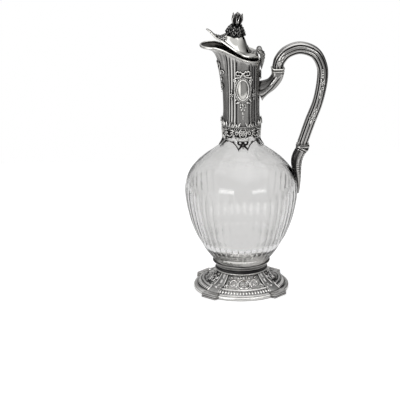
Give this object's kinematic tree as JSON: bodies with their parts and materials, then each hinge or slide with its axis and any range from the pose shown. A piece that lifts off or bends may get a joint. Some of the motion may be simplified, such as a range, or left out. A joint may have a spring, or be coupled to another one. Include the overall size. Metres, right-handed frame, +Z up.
{
  "type": "claret jug",
  "caption": "Fluted glass claret jug in antique silver mounts, with a stamped foot, a spouted neck, a scrolled handle and a hinged lid with a bud finial",
  "frame": {"origin": "on the jug's axis, in the plane of the table that the foot stands on", "axes": "+Z up along the jug's axis, +X toward the handle, -X toward the spout, +Y to the left of someone who looks from the handle to the spout"},
  "size_m": [0.143, 0.1126, 0.2864],
  "materials": {
    "antique_silver": "polished silver with dark tarnish in the recesses",
    "bright_silver": "polished",
    "dark_silver": "oxidised silver with bright high points",
    "clear_glass": "clear, polished",
    "plaster": "matte plaster"
  },
  "bodies": {
    "jug": {"foot_shell": "antique_silver", "glass_cup": "bright_silver", "cup_plaster": "plaster", "gallery_ring": "antique_silver", "glass_body": "clear_glass", "neck_plaster": "plaster", "throat_liner": "bright_silver", "neck_casing": "antique_silver", "mouth_wire": "bright_silver", "garland_skirt": "antique_silver", "ribbon_bows": "antique_silver", "side_cartouches": "bright_silver", "back_palmette": "antique_silver", "hinge_bracket": "antique_silver", "hinge_pin": "bright_silver", "handle_socket": "antique_silver", "handle_collar": "bright_silver", "handle_arch": "antique_silver", "handle_knuckle": "antique_silver", "handle_leaf": "dark_silver"},
    "lid": {"lid_shell": "bright_silver", "hinge_strap": "antique_silver", "beak_leaf": "antique_silver", "finial_calyx": "dark_silver", "finial_bud": "antique_silver"}
  },
  "joints": [
    {"name": "lid_hinge", "type": "hinge", "parent": "jug", "child": "lid", "pos_m": [0.0183, 0, 0.247], "axis": [0, 1, 0], "range_deg": [-7, 90]}
  ]
}
